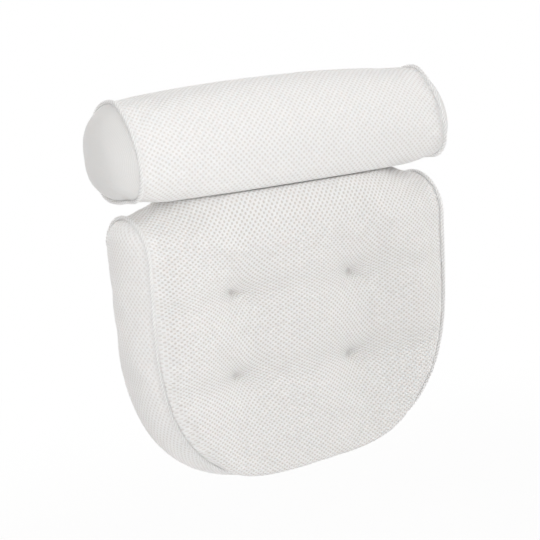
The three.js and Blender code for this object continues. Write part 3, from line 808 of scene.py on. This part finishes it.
def makeRoll():
    p = rollShape
    shell = newShell()
    around = p["rowsAround"]
    stations = np.linspace(-p["halfLength"], p["halfLength"], p["columns"] + 1)
    seamAway = np.clip((p["halfLength"] - np.abs(stations)) / p["margin"] - p["seamBare"], 0, p["weave"])
    rings = [addPlaces(shell, rollSection(x, around), fade) for x, fade in zip(stations, seamAway)]
    for i, (near, far) in enumerate(zip(rings, rings[1:])):
        for j in range(around):
            k = (j + 1) % around
            addFace(shell, (near[j], far[j], far[k], near[k]), cellCorners(i, j), 0)

    def addEndFace(*corners):
        addFace(shell, corners, [np.array(shell["places"][c])[1:] / p["endCell"] for c in corners], 1)

    seams = []
    for side, rim in ((-1, rings[0]), (1, rings[-1])):
        edge = np.array([shell["places"][k] for k in rim])
        centre = np.array([0, rollWaist - (p["noseReach"] - p["rearReach"]) / 2, p["centre"]])
        last = rim
        for step in range(1, p["endRings"]):
            share = math.cos(step / p["endRings"] * math.pi / 2)
            ring = centre + (edge - centre) * share
            ring[:, 0] = side * (p["halfLength"] + p["endBulge"] * (1 - share ** p["endPower"]))
            inner = addPlaces(shell, ring)
            for j in range(around):
                addEndFace(last[j], last[(j + 1) % around], inner[(j + 1) % around], inner[j])
            last = inner
        pole = addPlaces(shell, [(side * (p["halfLength"] + p["endBulge"]), centre[1], centre[2])])[0]
        for j in range(around):
            addEndFace(last[j], last[(j + 1) % around], pole)
        seams += [(rim[j], rim[(j + 1) % around]) for j in range(around)]
    pinned = rings[0] + rings[-1]
    pinned += [k for ring in rings for k in ring if shell["places"][k][1] > p["rear"] - p["backHold"]]
    roll = sewCushion("head_cushion", shell, seams, pinned, p, tricotEnd, overPinch)
    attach(roll, "head")
    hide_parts("head_sleeve", "head_end_left", "head_end_right", "head_filling")
    return roll


headCushion = makeRoll()
print("roll made", len(headCushion.data.vertices), "points")


# piping

# lengths in metres; strand and core are shares of the radius, loopOut and loopAlong of the way off the seam
piping = dict(radius=0.0019, lay=0.0017, strands=3, strand=0.464, twist=0.0108, core=0.6, sides=18, step=0.001,
              endRun=0.012, endThick=0.3, endSink=(0, -0.003, 0), aside=(1.0, 0.2, 0.1), archSteps=60, seamAngle=45,
              footAngle=60, footReach=0.3, loopSteps=240, loopOut=1.2, loopAlong=0.4)


def ropeRadius(angle, turn):
    # outline of strands laid side by side round a core
    p = piping
    step = 2 * math.pi / p["strands"]
    off = np.abs((angle - turn + step / 2) % step - step / 2)
    strand, reach = p["strand"], 1 - p["strand"]
    bulge = reach * np.cos(off) + np.sqrt(np.maximum(strand ** 2 - (reach * np.sin(off)) ** 2, 0))
    return p["radius"] * np.maximum(bulge, p["core"])


def layRope(name, path, closed, solid, body):
    # a three-strand cord along a seam; open ends thin out and sink into the seam
    p = piping
    path = np.asarray(path, float)
    line = np.vstack([path, path[:1]]) if closed else path
    length = alongLine(line)[-1]
    count = int(round(length / p["step"]))
    spots = evenSteps(path, count, closed)
    rings = len(spots)
    ahead = np.roll(spots, -1, 0) - np.roll(spots, 1, 0)
    if not closed:
        ahead[0], ahead[-1] = spots[1] - spots[0], spots[-1] - spots[-2]
    ahead = unit(ahead)
    side = np.zeros_like(spots)
    side[0] = np.cross(ahead[0], p["aside"])
    side[0] /= np.linalg.norm(side[0])
    for k in range(1, rings):
        side[k] = side[k - 1] - (side[k - 1] @ ahead[k]) * ahead[k]
        side[k] /= np.linalg.norm(side[k])
    over = np.cross(ahead, side)
    along = np.arange(rings) * length / count
    turns, back, thick = along / p["twist"] * 2 * math.pi, np.zeros(rings), np.ones(rings)
    if closed:
        # the frame comes round turned a little, and the strands have to meet themselves
        last = side[-1] - (side[-1] @ ahead[0]) * ahead[0]
        gap = math.atan2(last @ over[0], last @ side[0])
        whole = round(length / p["twist"]) * 2 * math.pi
        back = np.arange(rings) / rings * -gap
        turns = np.arange(rings) / rings * whole + back
    else:
        share = smooth(np.minimum(along, length - along) / p["endRun"])
        thick = p["endThick"] + (1 - p["endThick"]) * share
        spots = spots + (1 - share)[:, None] * np.array(p["endSink"])
    places, strands, sides = [], [], p["sides"]
    for k in range(rings):
        angle = np.arange(sides) / sides * 2 * math.pi + back[k]
        radius = ropeRadius(angle, turns[k])
        # how far each point stands out of the core, which the cord's colour turns into painted shade in its grooves
        strands.append((radius / p["radius"] - p["core"]) / (1 - p["core"]))
        outward = np.cos(angle)[:, None] * side[k] + np.sin(angle)[:, None] * over[k]
        places.append(spots[k] + (thick[k] * radius)[:, None] * outward)
    cord = newMesh(name, np.vstack(places), tubeFaces(0, rings, sides, closed), pipingCord)
    strand = cord.data.attributes.new("strand", "FLOAT", "POINT")
    strand.data.foreach_set("value", np.concatenate(strands).astype(np.float32))
    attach(cord, body)
    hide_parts(solid)


def padPipingPath():
    p, off = padShape, piping["lay"] / math.sqrt(2)
    turn = np.linspace(0, math.pi, piping["archSteps"])
    lift = unit(np.stack([-np.cos(turn) / p["topDepth"], np.sin(turn) / (2 * p["archHeight"])], 1))
    arch = np.stack([archCentre - p["topDepth"] / 2 * np.cos(turn) + off * lift[:, 0],
                     p["shoulder"] + p["archHeight"] * np.sin(turn) + off * lift[:, 1]], 1)
    line = footOutline(0)
    away = unit(np.gradient(line, axis=0))
    # along the foot the cord turns under the front
    down = footFacing(line[:, 0])
    angle = np.radians(piping["seamAngle"] + piping["footAngle"] * down)
    reach = piping["lay"] * (1 + piping["footReach"] * down)
    out, ahead = reach * np.sin(angle), reach * np.cos(angle)
    foot = np.column_stack([line[:, 0] + away[:, 1] * out, frontSeam(line[:, 1]) - ahead,
                            line[:, 1] - away[:, 0] * out])
    left = np.insert(arch, 0, -p["halfWidth"] - off, axis=1)[::-1]
    right = np.insert(arch, 0, p["halfWidth"] + off, axis=1)
    return np.vstack([left, foot[2:-2], right])


def rollPipingPath(side):
    off = piping["lay"] / math.sqrt(2)
    ring = rollSection(rollShape["halfLength"], piping["loopSteps"])
    along = np.roll(ring, -1, 0) - np.roll(ring, 1, 0)
    out = unit(np.stack([0 * along[:, 0], -along[:, 2], along[:, 1]], 1))
    if ((ring - ring.mean(0)) * out).sum() < 0:
        out = -out
    ring = ring + piping["loopOut"] * off * out
    ring[:, 0] = side * (rollShape["halfLength"] + piping["loopAlong"] * off)
    return ring


layRope("pad_piping_cord", padPipingPath(), False, "pad_piping", "pad")
layRope("head_piping_cord_left", rollPipingPath(-1), True, "head_piping_left", "head")
layRope("head_piping_cord_right", rollPipingPath(1), True, "head_piping_right", "head")
print("piping laid")


# suction cups, their patches, the tuft ties and the hinge strip

# edges that turn by more than this stay sharp
sharpEdge = math.radians(50)


def turnPiece(name, middle, rings, material, sides, closed=False):
    # turned by hand from a ring: rings are (radius, y) pairs about the axis at middle = (x, z)
    x, z = middle
    bpy.ops.object.select_all(action="DESELECT")
    bpy.ops.mesh.primitive_circle_add(vertices=sides, radius=rings[0][0], location=(x, rings[0][1], z),
                                      rotation=(math.pi / 2, 0, 0))
    obj = bpy.context.object
    obj.name = obj.data.name = name
    bpy.ops.object.transform_apply(location=True, rotation=True, scale=True)
    bpy.ops.object.mode_set(mode="EDIT")
    bpy.ops.mesh.select_all(action="SELECT")
    for (r0, y0), (r1, y1) in zip(rings, rings[1:]):
        bpy.ops.mesh.extrude_edges_move(TRANSFORM_OT_translate=dict(value=(0, y1 - y0, 0)))
        bpy.ops.transform.resize(value=(r1 / r0, 1, r1 / r0), center_override=(x, y1, z))
    if not closed:
        bpy.ops.mesh.edge_face_add()
        bpy.ops.mesh.select_all(action="DESELECT")
        bpy.ops.mesh.select_non_manifold()
        bpy.ops.mesh.edge_face_add()
    bpy.ops.mesh.select_all(action="SELECT")
    bpy.ops.mesh.remove_doubles(threshold=1e-6)
    bpy.ops.mesh.normals_make_consistent(inside=False)
    bpy.ops.object.mode_set(mode="OBJECT")
    bpy.ops.object.shade_smooth_by_angle(angle=sharpEdge)
    obj.data.materials.append(material)
    return obj


# rings of a stitch: share of its half length, and thickness
stitch = dict(length=0.0024, width=0.0003, height=0.00028, gap=0.0012, sides=6,
              rings=((-1.0, 0.15), (-0.75, 0.75), (-0.3, 1.0), (0.3, 1.0), (0.75, 0.75), (1.0, 0.15)))


def sewStitches(name, spots, ways, up, body):
    # a row of short threads: their middles, their directions, and the way that they stand proud
    p = stitch
    rings, sides = p["rings"], p["sides"]
    angles = np.arange(sides) / sides * 2 * math.pi
    up = np.asarray(up, float)
    places, faces = [], []
    for spot, way in zip(spots, ways):
        wide, high = p["width"] * np.cross(way, up), p["height"] * up
        faces += tubeFaces(len(places), len(rings), sides)
        for share, thick in rings:
            middle = spot + way * share * p["length"] / 2
            places += [middle + thick * (math.cos(a) * wide + math.sin(a) * high) for a in angles]
    row = newMesh(name, places, faces, sewingThread)
    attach(row, body)
    return row


# rings are radius and y; the dish is hollow to its eye, and bends from the rim of the lip to the hub
cup = dict(mouth=0.027, eye=0.0012, dish=0.007, dishSteps=12, lip=0.029, rim=-0.001, hub=0.008, hubTop=-0.011,
           bendFrom=0.03, bendSteps=14, straight=0.35, sides=56,
           lipRings=((0.0286, 0.0), (0.0289, -0.0002), (0.029, -0.0005), (0.0289, -0.0009)),
           button=((0.0077, -0.011), (0.0053, -0.01102), (0.005, -0.0113), (0.005, -0.0132), (0.0053, -0.01338),
                   (0.0087, -0.0134), (0.009, -0.0137), (0.009, -0.0151), (0.0086, -0.0161), (0.0076, -0.0169),
                   (0.006, -0.0172), (0.002, -0.01722)))
patch = dict(sides=48, stitchRadius=0.0201, stitchFace=-0.01575, stitches=34,
             rings=((0.0098, -0.0173), (0.0215, -0.0173), (0.022, -0.0169), (0.022, -0.0161), (0.0215, -0.0157),
                    (0.0208, -0.0156), (0.0204, -0.01585), (0.0198, -0.01585), (0.0194, -0.0156), (0.0152, -0.01555),
                    (0.0139, -0.0153), (0.0127, -0.0144), (0.0118, -0.0129), (0.0113, -0.0119), (0.0106, -0.0114),
                    (0.0060, -0.0114), (0.0054, -0.0117), (0.0054, -0.0127), (0.0058, -0.013), (0.0092, -0.013),
                    (0.0098, -0.0136), (0.0098, -0.0173)))
cupPlaces = dict(pad_low=("pad", 0.11, 0.08), pad_high=("pad", 0.11, 0.178), head=("head", 0.095, 0.310))


def makeCups():
    c = cup
    radii = np.linspace(c["eye"], c["mouth"], c["dishSteps"])
    inside = [(r, -c["dish"] * (1 - (r / c["mouth"]) ** 2)) for r in radii]
    share = np.linspace(c["bendFrom"], 1, c["bendSteps"])
    bend = ease(c["straight"] * share + (1 - c["straight"]) * share * share)
    outside = zip(c["lip"] + (c["hub"] - c["lip"]) * share, c["rim"] + (c["hubTop"] - c["rim"]) * bend)
    rings = [*inside, *c["lipRings"], *outside, *c["button"]]
    turn = np.arange(patch["stitches"]) / patch["stitches"] * 2 * math.pi
    for place, (body, x, z) in cupPlaces.items():
        for hand, side in (("left", -1), ("right", 1)):
            middle = (side * x, z)
            vinyl = turnPiece(f"vinyl_cup_{place}_{hand}", middle, rings, clearVinyl, c["sides"])
            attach(vinyl, f"cup_{place}_{hand}")
            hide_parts(f"cup_{place}_{hand}")
            sewn = turnPiece(f"sewn_patch_{place}_{hand}", middle, patch["rings"], tricotThin, patch["sides"], True)
            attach(sewn, body)
            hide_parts(f"patch_{place}_{hand}")
            seat = np.array((side * x, patch["stitchFace"], z))
            spots = [seat + patch["stitchRadius"] * np.array((math.cos(t), 0, math.sin(t))) for t in turn]
            ways = [np.array((-math.sin(t), 0, math.cos(t))) for t in turn]
            sewStitches(f"patch_stitches_{place}_{hand}", spots, ways, (0, 1, 0), body)


# rings are radius and y: of the knot from the pit of its tuft, of the button's foot from its seat, of its top from end
tie = dict(sides=24, seat=-0.0173, end=-0.0153,
           knot=((0.00048, -0.0005), (0.00128, -0.0003), (0.0016, 0.0003), (0.00144, 0.001), (0.0008, 0.0014)),
           foot=((0.0008, -0.0004), (0.0042, 0.0), (0.005, 0.0004)),
           top=((0.005, -0.0005), (0.0046, 0.0), (0.0036, 0.0), (0.003, -0.0005), (0.0006, -0.0005)))


def makeTies():
    skin = readPlaces(padCushion)
    front = skin[skin[:, 1] < padShape["frontFrom"]]
    names = ("left_low", "left_high", "right_low", "right_high")
    for name, (x, z) in zip(names, padShape["tufts"]):
        near = front[np.hypot(front[:, 0] - x, front[:, 2] - z).argmin()]
        pit = float(near[1])
        parts = ((pit, "knot"), (tie["seat"], "foot"), (tie["end"], "top"))
        rings = [(radius, start + y) for start, part in parts for radius, y in tie[part]]
        made = turnPiece(f"thread_tie_{name}", (x, z), rings, sewingThread, tie["sides"])
        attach(made, "pad")
        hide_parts(f"tuft_tie_{name}")


strip = dict(width=0.2, low=0.204, high=0.283, corner=0.008, cornerSteps=6, face=-0.0173, thickness=0.0012, rows=20,
             columns=25, lean=0.0022, leanFrom=0.252, inset=0.0045, stitchLean=0.94)


def makeStrip():
    p = strip
    bpy.ops.object.select_all(action="DESELECT")
    bpy.ops.mesh.primitive_plane_add(size=1, location=(0, p["face"] + p["thickness"], (p["low"] + p["high"]) / 2),
                                     rotation=(-math.pi / 2, 0, 0))
    obj = bpy.context.object
    obj.name = obj.data.name = "hinge_cloth"
    obj.scale = (p["width"], p["high"] - p["low"], 1)
    bpy.ops.object.transform_apply(location=True, rotation=True, scale=True)
    bpy.ops.object.mode_set(mode="EDIT")
    bpy.ops.mesh.select_all(action="SELECT")
    bpy.ops.mesh.bevel(affect="VERTICES", offset=p["corner"], segments=p["cornerSteps"])
    for row in range(1, p["rows"]):
        height = p["low"] + (p["high"] - p["low"]) * row / p["rows"]
        bpy.ops.mesh.select_all(action="SELECT")
        bpy.ops.mesh.bisect(plane_co=(0, 0, height), plane_no=(0, 0, 1))
    for column in range(1, p["columns"]):
        aside = p["width"] * (column / p["columns"] - 0.5)
        bpy.ops.mesh.select_all(action="SELECT")
        bpy.ops.mesh.bisect(plane_co=(aside, 0, 0), plane_no=(1, 0, 0))
    bpy.ops.object.mode_set(mode="OBJECT")
    places = readPlaces(obj)
    # above leanFrom the cloth leans in to the roll
    rise = smooth((places[:, 2] - p["leanFrom"]) / (p["high"] - p["leanFrom"]))
    places[:, 1] -= p["lean"] * rise
    writePlaces(obj, places)
    thicker = obj.modifiers.new("thicker", "SOLIDIFY")
    thicker.thickness = p["thickness"]
    thicker.offset = -1
    bpy.ops.object.modifier_apply(modifier=thicker.name)
    faceOut(obj)
    bpy.ops.object.shade_smooth_by_angle(angle=sharpEdge)
    obj.data.materials.append(tricotThin)
    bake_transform(obj)
    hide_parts("hinge_strip")
    for name, height, lean, body in (("hinge_stitches_pad", p["low"] + p["inset"], 0, "pad"),
                                     ("hinge_stitches_head", p["high"] - p["inset"], p["lean"], "head")):
        reach = p["width"] / 2 - p["corner"]
        count = int(2 * reach / (stitch["length"] + stitch["gap"]))
        face = p["face"] + p["thickness"] - p["stitchLean"] * lean
        spots = [(x, face, height) for x in np.linspace(-reach, reach, count)]
        sewStitches(name, np.array(spots), [np.array((1.0, 0, 0))] * count, (0, 1, 0), body)


makeCups()
makeTies()
makeStrip()
print("back fittings made")


# floor, background and light

# each lamp: place, size and power
studio = dict(drop=0.22, floorSize=30, floor=(0.93, 0.93, 0.93), roughness=0.9, whiteness=0.88, fadeFrom=0.5,
              fadeTo=1.3, world=0.2, tint=(1.0, 0.94, 0.9), aim=(0, -0.05, 0.18),
              lamps=dict(frontLight=((-0.32, -0.85, 0.42), 0.5, 1.68), highLight=((0.05, -0.7, 0.75), 0.5, 0.75),
                         leftLight=((-0.7, -0.5, 0.3), 0.5, 1.5), rightLight=((1.7, -0.84, 0.86), 0.9, 12.2),
                         topRight=((0.91, -0.47, 1.91), 0.9, 6.0), topLeft=((-0.98, 0.12, 1.91), 0.9, 7.4),
                         backLeft=((-0.45, 2.0, 0.9), 1.0, 14.0), backRight=((0.6, 2.0, 0.9), 1.0, 12.0)))


def addLamp(name, place, size, power):
    data = bpy.data.lights.new(name, "AREA")
    data.shape = "DISK"
    data.size = size
    data.energy = power
    lamp = bpy.data.objects.new(name, data)
    lamp.location = place
    lamp.rotation_euler = (Vector(studio["aim"]) - Vector(place)).to_track_quat("-Z", "Y").to_euler()
    lamp.visible_camera = False
    scene.collection.objects.link(lamp)


def seenDirectly(tree):
    # 1 for rays from the camera, also by way of a mirror or through clear vinyl
    path = node(tree, "ShaderNodeLightPath").outputs
    seen = maths(tree, "MAXIMUM", path["Is Camera Ray"], path["Is Glossy Ray"])
    return maths(tree, "MAXIMUM", seen, path["Is Transmission Ray"])


def addStudio():
    p = studio
    bpy.ops.object.select_all(action="DESELECT")
    bpy.ops.mesh.primitive_plane_add(size=p["floorSize"], location=(0, 0, cadBox[0].z - p["drop"]))
    floor = bpy.context.object
    floor.name = "floor"
    material = bpy.data.materials.new("paleFloor")
    material.use_nodes = True
    tree = material.node_tree
    shader = tree.nodes["Principled BSDF"]
    setInputs(shader, {"Base Color": (*p["floor"], 1), "Roughness": p["roughness"]})
    white = node(tree, "ShaderNodeEmission", ("Strength", 1.0)).outputs[0]
    away = node(tree, "ShaderNodeVectorMath", (0, objectPlace(tree)), operation="LENGTH").outputs["Value"]
    bright = spread(tree, away, p["fadeFrom"], p["fadeTo"], p["whiteness"], 1.0)
    share = maths(tree, "MULTIPLY", seenDirectly(tree), bright)
    mixed = node(tree, "ShaderNodeMixShader", (0, share), (1, shader.outputs[0]), (2, white)).outputs[0]
    tree.links.new(mixed, tree.nodes["Material Output"].inputs["Surface"])
    floor.data.materials.append(material)
    world = bpy.data.worlds.new("studio")
    world.use_nodes = True
    tree = world.node_tree
    seen = seenDirectly(tree)
    background = tree.nodes["Background"]
    tree.links.new(mixColour(tree, seen, p["tint"], (1, 1, 1)), background.inputs["Color"])
    tree.links.new(spread(tree, seen, 0.0, 1.0, p["world"], 1.0), background.inputs["Strength"])
    scene.world = world
    for name, (place, size, power) in p["lamps"].items():
        addLamp(name, place, size, power)
    scene.view_settings.view_transform = "Standard"


addStudio()
